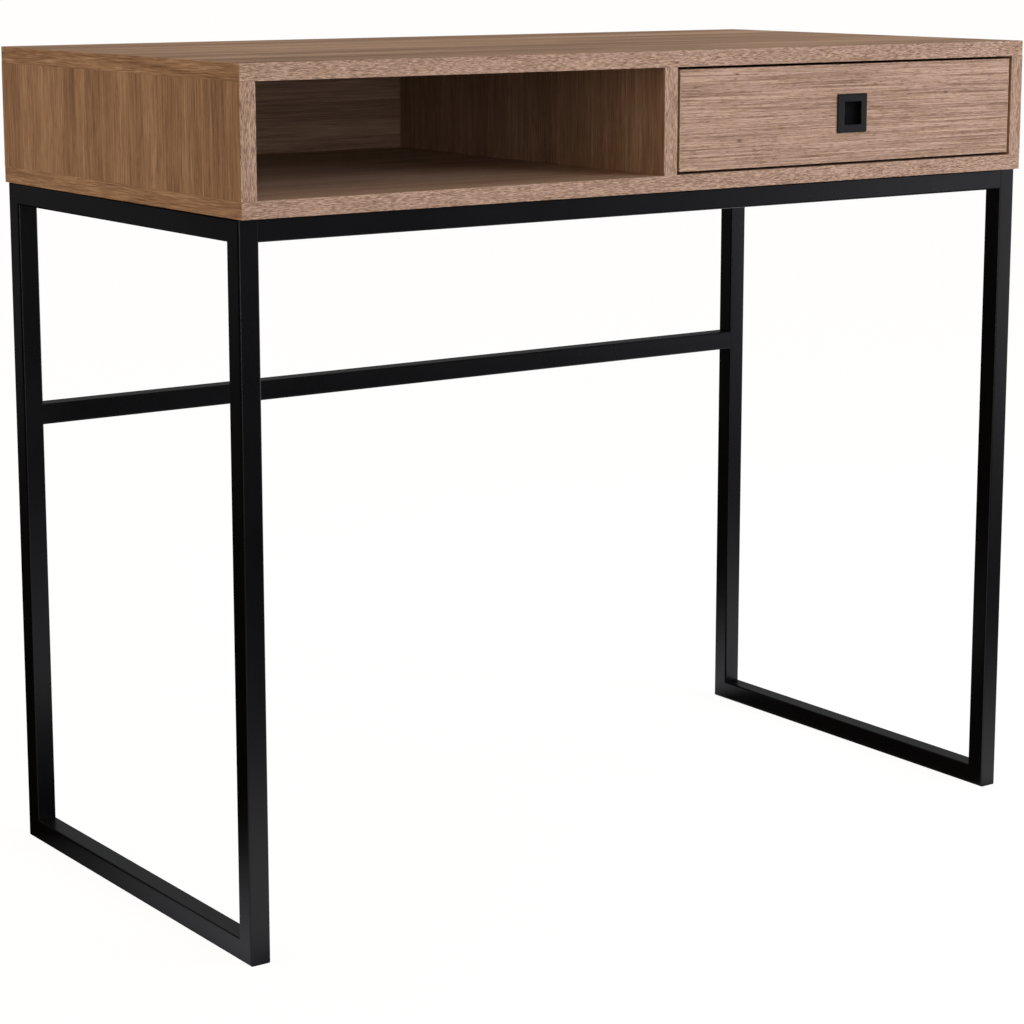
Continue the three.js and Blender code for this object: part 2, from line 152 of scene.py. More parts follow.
def remap(tree, value, low, high, to_low=0.0, to_high=1.0):
    """A value moved from one range to another and held inside it."""
    inputs = {"Value": value, "From Min": low, "From Max": high, "To Min": to_low, "To Max": to_high}
    return add_node(tree, "MapRange", inputs).outputs["Result"]


def blend_colours(tree, share, first, second):
    """Two colours mixed by a share from 0 to 1; 6 and 7 are a mix node's colour inputs."""
    inputs = {0: share, 6: first, 7: second}
    return add_node(tree, "Mix", inputs, data_type="RGBA").outputs[2]


def speckle(tree, vector, scale=1.0, detail=2.0):
    """Smooth noise, mostly from 0.3 to 0.7; scale is how many waves fit in a unit."""
    inputs = {"Vector": vector, "Scale": scale, "Detail": detail}
    return add_node(tree, "TexNoise", inputs).outputs["Fac"]


def bare_tree(block):
    """The emptied node tree of a material or a world."""
    block.use_nodes = True
    block.node_tree.nodes.clear()
    return block.node_tree


def start_material(name):
    """A new node material: the material, its tree, its shader and object coordinates."""
    material = bpy.data.materials.new(name)
    material.use_nodes = True
    tree = material.node_tree
    shader = tree.nodes["Principled BSDF"]
    place = add_node(tree, "TexCoord").outputs["Object"]
    return material, tree, shader, place


def dress(tree, shader, colour, roughness, height, distance):
    """Gives a shader its colour, its roughness and a relief; the height's unit is a distance."""
    bump = add_node(tree, "Bump", {"Height": height, "Distance": distance})
    tree.links.new(colour, shader.inputs["Base Color"])
    tree.links.new(roughness, shader.inputs["Roughness"])
    tree.links.new(bump.outputs["Normal"], shader.inputs["Normal"])


# ---- oak laminate

OAK_DARK = (0.200, 0.122, 0.073, 1)
OAK_MID = (0.352, 0.234, 0.150, 1)
OAK_LIGHT = (0.520, 0.373, 0.260, 1)
OAK_PORE = (0.125, 0.070, 0.042, 1)
OAK_KNOT = (0.075, 0.042, 0.026, 1)
OAK_BLUSH = (0.46, 0.315, 0.262, 1)


def along_grain(tree, place, grain, length, width, offset):
    """Coordinates in which one unit is a given length along the grain and width across it."""
    scale = [1 / width] * 3
    scale[grain] = 1 / length
    inputs = {"Vector": place, "Location": offset, "Scale": scale}
    return add_node(tree, "Mapping", inputs).outputs["Vector"]


def swirl(tree, place, grain, reach, offset):
    """Coordinates pushed sideways by slow noise, so that the grain wanders."""
    coarse = along_grain(tree, place, grain, 260 * MM, 60 * MM, offset)
    drift = add_node(tree, "TexNoise", {"Vector": coarse, "Scale": 1.0, "Detail": 1.0})
    push = [2 * reach] * 3
    push[grain] = 0.0
    centred = vector_calc(tree, "SUBTRACT", drift.outputs["Color"], (0.5, 0.5, 0.5))
    return vector_calc(tree, "ADD", place, vector_calc(tree, "MULTIPLY", centred, push))


def knot_marks(tree, place, knots):
    """A mask that is 1 in the heart of each knot; a knot is its centre and its radius."""
    mask = 0.0
    for centre, radius in knots:
        offset = vector_calc(tree, "SUBTRACT", place, centre)
        stretched = vector_calc(tree, "MULTIPLY", offset, (0.4, 1.0, 1.0))
        reach = add_node(tree, "VectorMath", {0: stretched}, operation="LENGTH")
        heart = remap(tree, reach.outputs["Value"], 0.45 * radius, 1.6 * radius, 1.0, 0.0)
        mask = calc(tree, "MAXIMUM", heart, mask)
    return mask


def oak_material(name, grain, band=0.10, streak=0.10, fibre=0.12, pore=0.5, light=0.25,
                 band_size=(520, 26), streak_size=(160, 3.6), fibre_size=(70, 1.1), sway=3,
                 tone=0.5, offset=(0, 0, 0), relief=0.12, knots=(), marks=(1, 1), blush=0.0):
    """Oak-grain laminate. Strengths are shares of the way between the dark and the light tone.

    Each size is a length along the grain and a width across it, in mm. marks scales the length and
    the width of the finest marks, and blush is how far patches turn pink. light is the strength of the
    glints, highlights painted into the colour as light dashes.
    """
    material, tree, shader, place = start_material(name)
    flow = swirl(tree, place, grain, sway * MM, offset)

    # Each layer's shift only keeps it from lining up with the others.
    def layer(length, width, shift, detail=2.0):
        moved = [a + b for a, b in zip(offset, shift)]
        grained = along_grain(tree, flow, grain, length * MM, width * MM, moved)
        return speckle(tree, grained, detail=detail)

    def swing(*measures):
        return remap(tree, layer(*measures), 0.3, 0.7, -1, 1)

    long, wide = marks
    broad = swing(*band_size, (3, 7, 1), 3)
    streaks = swing(*streak_size, (11, 2, 5), 3)
    fibres = swing(*fibre_size, (1, 17, 9), 1.5)
    hairs = swing(26 * long, 0.5 * wide, (8, 4, 21))
    pores = remap(tree, layer(16 * long, 0.55 * wide, (31, 12, 3)), 0.57, 0.66)
    # Glints: light dashes painted into the colour, standing in for highlights on the embossed surface.
    painted_glints = remap(tree, layer(14 * long, 0.6 * wide, (5, 33, 18)), 0.57, 0.68)

    value = tone
    for part, weight in ((broad, band), (streaks, streak), (fibres, fibre), (hairs, fibre * 0.6)):
        value = calc(tree, "ADD", product(tree, part, weight), value)
    dark_half = blend_colours(tree, remap(tree, value, 0.0, 0.5), OAK_DARK, OAK_MID)
    colour = blend_colours(tree, remap(tree, value, 0.5, 1.0), dark_half, OAK_LIGHT)
    # Painted highlights: the glints lift the colour towards the light tone.
    colour = blend_colours(tree, product(tree, painted_glints, light), colour, OAK_LIGHT)
    colour = blend_colours(tree, product(tree, pores, pore), colour, OAK_PORE)
    if blush:
        share = remap(tree, layer(40, 7, (14, 6, 27), 3), 0.42, 0.66, 0.0, blush)
        colour = blend_colours(tree, share, colour, OAK_BLUSH)
    if knots:
        hearts = knot_marks(tree, flow, knots)
        colour = blend_colours(tree, product(tree, hearts, 0.85), colour, OAK_KNOT)

    rough = remap(tree, calc(tree, "ADD", fibres, hairs), -2.0, 2.0, 0.50, 0.66)
    shader.inputs["Specular IOR Level"].default_value = 0.34
    height = calc(tree, "ADD", product(tree, fibres, 0.5), product(tree, hairs, 0.25))
    height = calc(tree, "SUBTRACT", height, product(tree, pores, 0.9))
    dress(tree, shader, colour, rough, height, relief * MM)
    return material


# ---- metals and plastic

def powder_coat_material():
    """Satin black powder coat: a fine orange peel and faint uneven gloss."""
    material, tree, shader, place = start_material("black_powder_coat")
    cloud = speckle(tree, place, 9.0, 3.0)
    peel = speckle(tree, place, 900.0, 1.0)
    grit = speckle(tree, place, 2600.0, 1.0)
    shade = remap(tree, cloud, 0.3, 0.7)
    colour = blend_colours(tree, shade, (0.0014, 0.0014, 0.0017, 1), (0.0020, 0.0020, 0.0025, 1))
    rough = remap(tree, cloud, 0.3, 0.7, 0.25, 0.31)
    height = calc(tree, "ADD", product(tree, peel, 0.8), product(tree, grit, 0.2))
    dress(tree, shader, colour, rough, height, 0.035 * MM)
    return material


def plastic_material(name, dark, pale, roughness, shine):
    """Moulded plastic with a fine spark-eroded texture."""
    material, tree, shader, place = start_material(name)
    texture = speckle(tree, place, 3200.0)
    cloud = speckle(tree, place, 60.0)
    colour = blend_colours(tree, remap(tree, cloud, 0.3, 0.7), dark, pale)
    wear = remap(tree, cloud, 0.3, 0.7, roughness, roughness + 0.08)
    shader.inputs["Specular IOR Level"].default_value = shine
    dress(tree, shader, colour, wear, texture, 0.012 * MM)
    return material


def metal_material(name, dark, pale, rough, grain=None, spangle=0.0, relief=0.01):
    """Bare or plated metal: fine lines along one axis, or a soft crystalline spangle."""
    material, tree, shader, place = start_material(name)
    cloud = speckle(tree, place, 40.0, 3.0)
    if grain is None:
        fine = speckle(tree, place, 1500.0, 3.0)
    else:
        fine = speckle(tree, along_grain(tree, place, grain, 40 * MM, 0.35 * MM, (0, 0, 0)))
    shade = calc(tree, "ADD", product(tree, cloud, 0.5), product(tree, fine, 0.5))
    if spangle:
        cells = add_node(tree, "TexVoronoi", {"Vector": place, "Scale": 260.0})
        tint = add_node(tree, "SeparateColor", {"Color": cells.outputs["Color"]}).outputs[0]
        shade = calc(tree, "ADD", shade, product(tree, tint, spangle))
    colour = blend_colours(tree, remap(tree, shade, 0.3, 0.75), dark, pale)
    wear = remap(tree, fine, 0.3, 0.7, rough - 0.06, rough + 0.08)
    shader.inputs["Metallic"].default_value = 0.55
    dress(tree, shader, colour, wear, fine, relief * MM)
    return material


# ---- floor and world

# The floor's gloss map, a painted reflection: which parts of the floor the steel reflects as bright,
# painted as a glow with a pool of light and with shade under the desk. Each ramp is a range of places
# in metres and the strengths at its two ends.
SHADE_ACROSS = (0.42, 0.47, 1.0, 0.0)
SHADE_ALONG = (0.20, 0.26, 1.0, 0.0)
TO_KEY = (0.6, -0.8, 0.0)
POOL_START = (-0.45, 0.05, 0.0, 0.75)
POOL_END = (0.5, 1.1, 1.0, 0.1)
POOL_FRONT = (-0.85, -0.5, 0.12, 1.0)
TO_FAR_RIGHT = (1.0, 0.9, 0.0)
FAR_REACH = (1.6, 4.5, 0.04, 1.0)
FAR_SLANT = (-0.5, 1.0, 0.12, 1.2)
FAR_ACROSS = (-0.3, 1.0, 0.10, 1.0)
FLOOR_GLOSS = (0.93, 0.93, 1.0, 1)
FLOOR_GLOW = 0.95
FLOOR_PAINT = (0.07, 0.07, 0.07, 1)
FLOOR_BOUNCE = (0.36, 0.33, 0.30, 1)


def floor_material():
    """A pale studio floor: near white to look at and grey in bounced light.

    Reflections see painted light: an emission that only glossy rays see, painted as a bright pool
    beside the desk towards the key light and a bright floor far off to the rear right, with painted
    shade under the desk left dark.
    """
    material = bpy.data.materials.new("studio_floor")
    tree = bare_tree(material)
    place = add_node(tree, "TexCoord").outputs["Object"]
    parts = add_node(tree, "SeparateXYZ", {"Vector": place})
    across, along = parts.outputs["X"], parts.outputs["Y"]

    def reading(operation, other=(0, 0, 0)):
        made = add_node(tree, "VectorMath", {0: place, 1: other}, operation=operation)
        return made.outputs["Value"]

    # Painted shade: in reflections the floor under the desk is kept dark.
    painted_shade_under_desk = product(
        tree,
        remap(tree, calc(tree, "ABSOLUTE", across), *SHADE_ACROSS),
        remap(tree, calc(tree, "ABSOLUTE", along), *SHADE_ALONG),
    )
    to_key = reading("DOT_PRODUCT", TO_KEY)
    # A painted pool of light in front of and beside the desk, towards the key light.
    pool = product(
        tree,
        remap(tree, to_key, *POOL_START),
        remap(tree, to_key, *POOL_END),
        remap(tree, along, *POOL_FRONT),
        calc(tree, "SUBTRACT", 1.0, painted_shade_under_desk),
    )
    far = product(
        tree,
        remap(tree, reading("LENGTH"), *FAR_REACH),
        remap(tree, reading("DOT_PRODUCT", TO_FAR_RIGHT), *FAR_SLANT),
        remap(tree, across, *FAR_ACROSS),
    )
    strength = calc(tree, "MAXIMUM", pool, far)
    # The painted reflection: a glow that only glossy rays see.
    gloss = add_node(tree, "Emission", {"Color": FLOOR_GLOSS, "Strength": strength})
    glow = add_node(tree, "Emission", {"Color": (1, 1, 1, 1), "Strength": FLOOR_GLOW})
    paint = add_node(tree, "BsdfDiffuse", {"Color": FLOOR_PAINT})
    bright = add_node(tree, "AddShader", {0: glow.outputs[0], 1: paint.outputs[0]})
    bounce = add_node(tree, "BsdfDiffuse", {"Color": FLOOR_BOUNCE})
    surface = pick_by_ray(tree, bright, gloss, bounce)
    add_node(tree, "OutputMaterial", {"Surface": surface})
    return material


def pick_by_ray(tree, seen, gloss, rest):
    """One shader for what is looked at, one for reflections and one for all other light."""
    rays = add_node(tree, "LightPath").outputs
    inputs = {0: rays["Is Glossy Ray"], 1: rest.outputs[0], 2: gloss.outputs[0]}
    lit = add_node(tree, "MixShader", inputs)
    inputs = {0: rays["Is Camera Ray"], 1: lit.outputs[0], 2: seen.outputs[0]}
    return add_node(tree, "MixShader", inputs).outputs[0]


WARM_LEFT = (0.70, 0.50, 0.34, 1)
COOL_RIGHT = (0.19, 0.27, 0.30, 1)
LEFT_TO_RIGHT = (-0.55, 0.8)
LIFT_ABOVE = (0.1, 0.8, 1.0, 1.62)
SHEEN_TO_RIGHT = (-0.5, 0.5, 0.02, 0.22)
SHEEN_ABOVE = (0.1, 0.35, 0.3, 1.0)
SHEEN_COLOUR = (0.95, 0.97, 1.0, 1)


def add_world():
    """A white studio to look at, and a soft surround, warmer on the left and dim in reflections."""
    world = bpy.data.worlds.new("studio")
    bpy.context.scene.world = world
    tree = bare_tree(world)
    way = add_node(tree, "TexCoord").outputs["Generated"]
    parts = add_node(tree, "SeparateXYZ", {"Vector": way})
    right, up = parts.outputs["X"], parts.outputs["Z"]
    colour = blend_colours(tree, remap(tree, right, *LEFT_TO_RIGHT), WARM_LEFT, COOL_RIGHT)
    lift = remap(tree, up, *LIFT_ABOVE)
    surround = add_node(tree, "Background", {"Color": colour, "Strength": lift})
    sheen = product(tree, remap(tree, right, *SHEEN_TO_RIGHT), remap(tree, up, *SHEEN_ABOVE))
    gloss = add_node(tree, "Background", {"Color": SHEEN_COLOUR, "Strength": sheen})
    white = add_node(tree, "Background", {"Color": (1, 1, 1, 1)})
    surface = pick_by_ray(tree, white, gloss, surround)
    add_node(tree, "OutputWorld", {"Surface": surface})


def add_floor():
    """The floor, level with the desk's feet."""
    half = FLOOR_SIZE / 2
    mesh = bpy.data.meshes.new("floor")
    corners = [(-half, -half, 0), (half, -half, 0), (half, half, 0), (-half, half, 0)]
    mesh.from_pydata(corners, [], [(0, 1, 2, 3)])
    mesh.materials.append(floor_material())
    add_object("floor", mesh)


# ---- meshes

SHARP_ANGLE = math.radians(50)


def mesh_from(name, bm):
    """A finished bmesh as a mesh."""
    mesh = bpy.data.meshes.new(name)
    bm.to_mesh(mesh)
    bm.free()
    return mesh


def add_piece(name, bm, materials, body, replaces=()):
    """A piece of the desk that rides on its body: smooth on its rounded edges, flat elsewhere."""
    mesh = mesh_from(name, bm)
    for material in materials if isinstance(materials, tuple) else [materials]:
        mesh.materials.append(material)
    piece = add_object(name, mesh)
    mesh.polygons.foreach_set("use_smooth", [True] * len(mesh.polygons))
    mesh.set_sharp_from_angle(angle=SHARP_ANGLE)
    piece.modifiers.new("flat_faces", "WEIGHTED_NORMAL").keep_sharp = True
    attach(piece, body)
    if replaces:
        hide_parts(*replaces)
    return piece


def edge_axis(edge):
    """The axis that an edge runs along, or None."""
    line = edge.verts[1].co - edge.verts[0].co
    biggest = max(range(3), key=lambda i: abs(line[i]))
    return biggest if abs(line[biggest]) > 0.999 * line.length else None


def slab(low, high, radius=0.0, rounded=None, segments=2):
    """A block between two corners; a radius goes on edges for which rounded(axis, middle) holds."""
    bm = bmesh.new()
    bmesh.ops.create_cube(bm, size=1)
    middle = (low + high) / 2
    for vertex in bm.verts:
        vertex.co = Vector(vertex.co[i] * (high[i] - low[i]) + middle[i] for i in range(3))
    if radius:
        edges = [
            edge for edge in bm.edges
            if rounded(edge_axis(edge), (edge.verts[0].co + edge.verts[1].co) / 2)
        ]
        bmesh.ops.bevel(
            bm, geom=edges, offset=radius, segments=segments, profile=0.5, affect="EDGES",
            clamp_overlap=True,
        )
    return bm


def turned(outline, axis, origin, facets=32):
    """A turned solid. The outline is (radius, distance along the axis); a radius of 0 is a point."""
    direction = Vector()
    direction[abs(axis) - 1] = math.copysign(1, axis)
    turn = direction.to_track_quat("Z", "Y").to_matrix()
    bm = bmesh.new()
    rings = []
    for radius, along in outline:
        angles = [2 * math.pi * i / facets for i in range(facets if radius else 1)]
        rings.append([
            bm.verts.new(origin + turn @ Vector((radius * math.cos(a), radius * math.sin(a), along)))
            for a in angles
        ])
    for low, high in zip(rings, rings[1:]):
        for i in range(facets):
            j = (i + 1) % facets
            corners = [low[i % len(low)], low[j % len(low)], high[j % len(high)], high[i % len(high)]]
            unique = list(dict.fromkeys(corners))
            if len(unique) > 2:
                bm.faces.new(unique)
    bmesh.ops.recalc_face_normals(bm, faces=bm.faces)
    return bm


def rod(radius, length):
    """The outline of a plain round rod that starts at its origin."""
    return [(0, 0), (radius, 0), (radius, length), (0, length)]


def skin(rings, closed=False):
    """Faces between rings of points, joined end to end or closed with a face at each end."""
    bm = bmesh.new()
    rows = [[bm.verts.new(point) for point in ring] for ring in rings]
    after = rows[1:] + rows[:1] if closed else rows[1:]
    for row, following in zip(rows, after):
        for i in range(len(row)):
            j = (i + 1) % len(row)
            bm.faces.new((row[i], row[j], following[j], following[i]))
    if not closed:
        bm.faces.new(rows[0])
        bm.faces.new(rows[-1])
    bmesh.ops.recalc_face_normals(bm, faces=bm.faces)
    return bm


def merged(*parts):
    """Several bmeshes as one."""
    whole = bmesh.new()
    for part in parts:
        mesh = mesh_from("part", part)
        whole.from_mesh(mesh)
        bpy.data.meshes.remove(mesh)
    return whole


def carved(bm, cutters):
    """A solid with other solids cut from it, one after another."""
    solids = [add_object("solid", mesh_from("solid", solid)) for solid in (bm, *cutters)]
    whole, *tools = solids
    for tool in tools:
        cut = whole.modifiers.new("cut", "BOOLEAN")
        cut.operation = "DIFFERENCE"
        cut.solver = "EXACT"
        cut.object = tool
    bpy.context.view_layer.update()
    graph = bpy.context.evaluated_depsgraph_get()
    mesh = bpy.data.meshes.new_from_object(whole.evaluated_get(graph))
    result = bmesh.new()
    result.from_mesh(mesh)
    bpy.data.meshes.remove(mesh)
    for solid in solids:
        bpy.data.objects.remove(solid)
    return result


def box_of(node):
    """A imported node's low and high corners, and its centre."""
    low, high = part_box(node)
    return low, high, (low + high) / 2


# ---- rounded squares and rings

def rounded_outline(half_u, half_v, radius, segments=4):
    """Points round a rectangle with rounded corners, in its own plane."""
    points = []
    for corner, (sign_u, sign_v) in enumerate(((1, 1), (-1, 1), (-1, -1), (1, -1))):
        for step in range(segments + 1):
            angle = math.pi / 2 * (corner + step / segments)
            points.append((
                sign_u * (half_u - radius) + radius * math.cos(angle),
                sign_v * (half_v - radius) + radius * math.sin(angle),
            ))
    return points


def ring_round(centre, normal, half_u, half_v, radius, level, segments=4):
    """A rounded rectangle across an axis, at one level along it."""
    first, second = [axis for axis in (X, Y, Z) if axis != normal]
    points = []
    for u, v in rounded_outline(half_u, half_v, radius, segments):
        point = Vector(centre)
        point[first] += u
        point[second] += v
        point[normal] = level
        points.append(point)
    return points


# ---- boards with edge bands

BAND = 0.8 * MM
BAND_ROUND = 0.22 * MM
EDGE_EASE = 0.04 * MM
SHEET_EASE = 0.2 * MM


def ease(bm, radius=EDGE_EASE):
    """Takes the sharpness off every edge of a plain slab, before anything is cut from it."""
    bmesh.ops.bevel(bm, geom=list(bm.edges), offset=radius, segments=1, affect="EDGES")
    return bm


def band_ring(low, high, normal):
    """An edge band that runs round all four edges of a board lying across one axis."""
    first, second = [axis for axis in (X, Y, Z) if axis != normal]
    centre = (low + high) / 2
    half_u = (high[first] - low[first]) / 2
    half_v = (high[second] - low[second]) / 2
    bottom, top = low[normal], high[normal]

    def ring(inset, level):
        corner = max(BAND - inset, 0.05 * MM)
        return ring_round(centre, normal, half_u - inset, half_v - inset, corner, level, 3)

    soft = BAND_ROUND * 0.3
    rings = [
        ring(BAND, bottom), ring(BAND_ROUND, bottom),
        ring(soft, bottom + soft), ring(0, bottom + BAND_ROUND),
        ring(0, top - BAND_ROUND), ring(soft, top - soft),
        ring(BAND_ROUND, top), ring(BAND, top),
    ]
    return skin(rings, closed=True)


def band_strip(low, high, face):
    """An edge band on one edge of a board; face is the signed axis, 1 to 3, that it looks along."""
    axis = abs(face) - 1
    outer = (high if face > 0 else low)[axis]

    def on_outer_face(edge_along, middle):
        return edge_along is not None and abs(middle[axis] - outer) < 0.1 * BAND

    return slab(low, high, BAND_ROUND, on_outer_face)


# How far a bore clears its fastener all round, and the radii of the bores and holes.
BORE_ROOM = 0.3 * MM
BOLT_BORE_ABOVE = 2.5 * MM + BORE_ROOM
BOLT_BORE_BELOW = 3 * MM + BORE_ROOM
SCREW_BORE = 2.5 * MM + BORE_ROOM
RAIL_HOLE = 2.8 * MM
ACCESS_HOLE = 5 * MM
# A cam looks to the right when its face is this far right of the middle of its board.
CAM_OFF_MIDDLE = 7 * MM
# Pieces that overlap by less than this only touch.
TOUCH = 0.01 * MM
# The places of the cam locks, their bolts and the box screws.
PLACES = [f"{place}_{end}" for place in ("left", "middle", "right") for end in ENDS]


def groove(panel, behind=0.0):
    """The cutter for the groove that a thin panel stands in, a little larger than the panel."""
    low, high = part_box(panel)
    room = Vector((BORE_ROOM,) * 3)
    return slab(low - room, high + room + Vector((0, behind, 0)))


def meets(node, low, high):
    """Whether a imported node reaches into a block."""
    node_low, node_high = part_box(node)
    return all(node_low[i] < high[i] - TOUCH and node_high[i] > low[i] + TOUCH for i in range(3))


def upright_bore(node, radius, low=None, high=None):
    """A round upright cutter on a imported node's axis."""
    node_low, node_high, middle = box_of(node)
    foot = node_low.z - BORE_ROOM if low is None else low
    head = node_high.z + BORE_ROOM if high is None else high
    return turned(rod(radius, head - foot), 3, Vector((middle.x, middle.y, foot)), 24)


def board_cutters(low, high):
    """Every bore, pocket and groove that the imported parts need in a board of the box."""
    cutters = []
    if meets("back_panel", low, high):
        cutters.append(groove("back_panel"))
    for place in PLACES:
        cam, bolt = f"cam_lock_{place}", f"cam_bolt_{place}"
        cam_low, cam_high, middle = box_of(cam)
        if meets(cam, low, high):
            facing = 1 if cam_high.x > (low.x + high.x) / 2 + CAM_OFF_MIDDLE else -1
            face = cam_high.x if facing > 0 else cam_low.x
            depth = cam_high.x - cam_low.x + BORE_ROOM
            radius = (cam_high.z - cam_low.z) / 2 + BORE_ROOM
            origin = Vector((face - facing * depth, middle.y, middle.z))
            cutters.append(turned(rod(radius, depth + MM), facing, origin))
        if meets(bolt, low, high):
            if low.z > middle.z:
                cutters.append(upright_bore(bolt, BOLT_BORE_ABOVE, low.z - MM))
            else:
                cutters.append(upright_bore(bolt, BOLT_BORE_BELOW, None, high.z + MM))
    for screw in [f"box_screw_{place}" for place in PLACES]:
        if meets(screw, low, high):
            cutters.append(upright_bore(screw, SCREW_BORE, low.z - MM))
    return cutters


def add_flat_board(node, materials):
    """The top or the bottom board: a core, and a band whose grain follows each of its edges."""
    low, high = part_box(node)
    inset = Vector((BAND, BAND, 0))
    core = carved(ease(slab(low + inset, high - inset)), board_cutters(low, high))
    add_piece(f"{node}_core", core, materials[0], "desk_body", [node])
    ring = band_ring(low, high, Z)
    band = add_piece(f"{node}_band", ring, materials[1:], "desk_body")
    for polygon in band.data.polygons:
        polygon.material_index = int(abs(polygon.normal.y) < abs(polygon.normal.x))


def add_upright_board(node, face_material, band_material, ends):
    """A side panel or the divider: a core, and a band on each open end."""
    low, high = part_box(node)
    core_low, core_high = low.copy(), high.copy()
    for end in ends:
        strip_low, strip_high = low.copy(), high.copy()
        if end == "rear":
            face = 2
            core_high.y = strip_low.y = high.y - BAND
        else:
            face = -2
            core_low.y = strip_high.y = low.y + BAND
        strip = band_strip(strip_low, strip_high, face)
        add_piece(f"{node}_band_{end}", strip, band_material, "desk_body")
    core = carved(ease(slab(core_low, core_high)), board_cutters(core_low, core_high))
    add_piece(f"{node}_core", core, face_material, "desk_body", [node])


# ---- steel tube

TUBE_ROUND = 1.9 * MM
TUBE_WALL = 1.25 * MM
TUBE_SEGMENTS = 5
WELD_REACH = 1.2 * MM


def loop_shell(low, high, half, radius):
    """One shell of a closed loop of tube that stands in the YZ plane, mitred at its corners."""
    side = Vector(((low.x + high.x) / 2, 0, 0))
    reach = (high.x - low.x) / 2
    corners = [
        (low.y + reach, low.z + reach, -1, -1), (high.y - reach, low.z + reach, 1, -1),
        (high.y - reach, high.z - reach, 1, 1), (low.y + reach, high.z - reach, -1, 1),
    ]
    rings = []
    for y, z, sign_y, sign_z in corners:
        rings.append([
            side + Vector((across, y + sign_y * out, z + sign_z * out))
            for across, out in rounded_outline(half, half, radius, TUBE_SEGMENTS)
        ])
    return skin(rings, closed=True)


def frame_holes(low, high):
    """Cutters for the box screws' holes and their wider access holes in one rail."""
    cutters = []
    foot = high.z - min(high.x - low.x, high.y - low.y)
    for node in [f"box_screw_{place}" for place in PLACES]:
        if meets(node, low, high):
            cutters.append(upright_bore(node, RAIL_HOLE, high.z - 2 * TUBE_WALL, high.z + MM))
            cutters.append(upright_bore(node, ACCESS_HOLE, foot - MM, foot + 2 * TUBE_WALL))
    return cutters


def add_side_loop(side, material):
    """Four mitred tubes, welded and ground flush, so one loop with no seam."""
    members = [f"floor_rail_{side}", f"side_rail_{side}", f"leg_front_{side}", f"leg_rear_{side}"]
    boxes = [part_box(member) for member in members]
    low = Vector(min(box[0][i] for box in boxes) for i in range(3))
    high = Vector(max(box[1][i] for box in boxes) for i in range(3))
    half = (high.x - low.x) / 2
    outer = loop_shell(low, high, half, TUBE_ROUND)
    inner = loop_shell(low, high, half - TUBE_WALL, TUBE_ROUND - TUBE_WALL)
    bmesh.ops.reverse_faces(inner, faces=inner.faces)
    holes = frame_holes(*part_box(f"side_rail_{side}"))
    whole = carved(merged(outer, inner), holes)
    add_piece(f"side_loop_{side}", whole, material, "desk_body", members)


def add_cross_tube(node, material):
    """A straight tube between the loops, open at both ends over its stubs."""
    low, high, centre = box_of(node)
    half = (high.z - low.z) / 2

    def ring(level, inset):
        corner = TUBE_ROUND - inset
        return ring_round(centre, X, half - inset, half - inset, corner, level, TUBE_SEGMENTS)

    start, end = low.x - WELD_REACH, high.x + WELD_REACH
    rings = [ring(start, 0), ring(end, 0), ring(end, TUBE_WALL), ring(start, TUBE_WALL)]
    cutters = frame_holes(low, high)
    if node == "rear_stretcher":
        for side in SIDES:
            _, _, middle = box_of(f"stretcher_screw_{side}")
            reach = 2.5 * TUBE_WALL
            origin = Vector((middle.x, high.y - reach / 2, middle.z))
            cutters.append(turned(rod(RAIL_HOLE, reach), 2, origin, 24))
    whole = carved(skin(rings, closed=True), cutters)
    add_piece(f"{node}_tube", whole, material, "desk_body", [node])


# ---- fasteners

def cross_recess(reach, width, depth, axis, face):
    """Two crossed slots, cut into a head from its face."""
    first, second = [a for a in (X, Y, Z) if a != abs(axis) - 1]
    cutters = []
    for long_way, short_way in ((first, second), (second, first)):
        half = Vector()
        half[long_way] = reach
        half[short_way] = width
        half[abs(axis) - 1] = depth
        cutters.append(slab(face - half, face + half))
    return cutters


# A hexagon socket's outline about the face it is cut from.
HEX_SOCKET = (
    (0, -1.5 * MM), (1.575 * MM, -1.5 * MM), (1.75 * MM, -1.2 * MM),
    (1.75 * MM, 1.5 * MM), (0, 1.5 * MM),
)


def add_stretcher_screw(side, material):
    """A button-head screw with a hexagon socket, on the stretcher's rear face."""
    node = f"stretcher_screw_{side}"
    low, high, centre = box_of(node)
    radius = (high.x - low.x) / 2
    height = 2.5 * MM
    rim = 0.45 * MM
    seat = high.y - height
    end = low.y - seat
    outline = [
        (0, end), (2.2 * MM, end), (2.5 * MM, end + 0.4 * MM), (2.5 * MM, 0),
        (radius - 0.15 * MM, 0), (radius, 0.15 * MM), (radius, rim),
    ]
    for step in range(1, 6):
        angle = math.pi / 2 * step / 6
        across = 0.55 * radius + 0.45 * radius * math.cos(angle)
        outline.append((across, rim + (height - rim) * math.sin(angle)))
    outline += [(0.5 * radius, height), (0, height)]
    origin = Vector((centre.x, seat, centre.z))
    face = Vector((centre.x, high.y, centre.z))
    whole = carved(turned(outline, 2, origin), [turned(HEX_SOCKET, 2, face, 6)])
    add_piece(f"{node}_head", whole, material, "desk_body", [node])


# How deep a cam's face is sunk inside its rim, and half the width and the depth of the slot behind
# it that takes the bolt's head.
CAM_SUNK = 0.4 * MM
CAM_SLOT_HALF = 3.5 * MM
CAM_SLOT_DEPTH = 3 * MM


